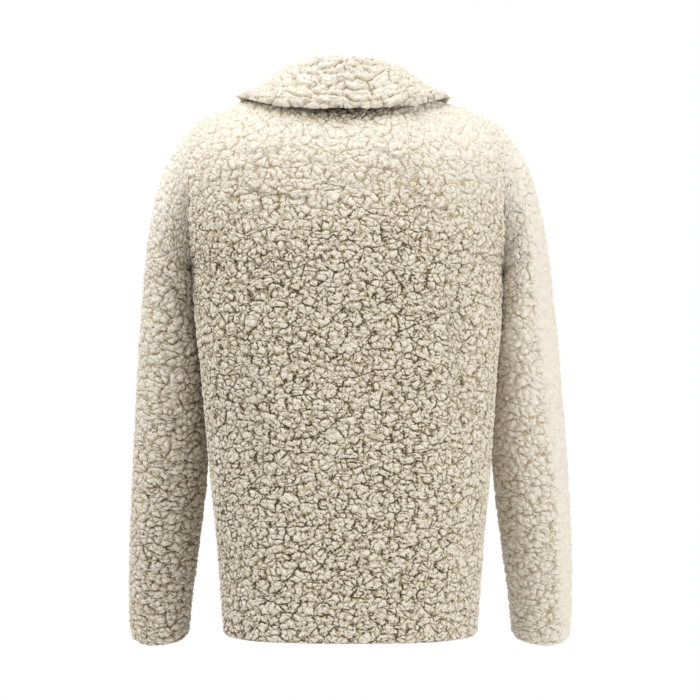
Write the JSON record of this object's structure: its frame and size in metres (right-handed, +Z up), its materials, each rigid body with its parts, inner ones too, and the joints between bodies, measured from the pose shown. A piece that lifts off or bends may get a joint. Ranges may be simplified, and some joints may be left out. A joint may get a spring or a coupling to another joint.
{
  "type": "fleece cardigan",
  "caption": "Open-front curly fleece cardigan with a turned-down shawl collar and dropped shoulders, in its worn shape with nobody in it, to be worn over the shoulders.",
  "frame": {"origin": "midway between the two high shoulder points, where the neck seam meets the shoulder seams", "axes": "+Z up, +Y out of the garment's back, +X towards the wearer's left sleeve"},
  "size_m": [0.561, 0.3103, 0.7259],
  "materials": {
    "fleece": "curly cream pile with darker valleys, matt"
  },
  "bodies": {
    "root": {"back": "fleece", "front_left": "fleece", "front_right": "fleece", "sleeve_left": "fleece", "sleeve_right": "fleece", "collar_left": "fleece", "collar_right": "fleece"}
  },
  "joints": []
}
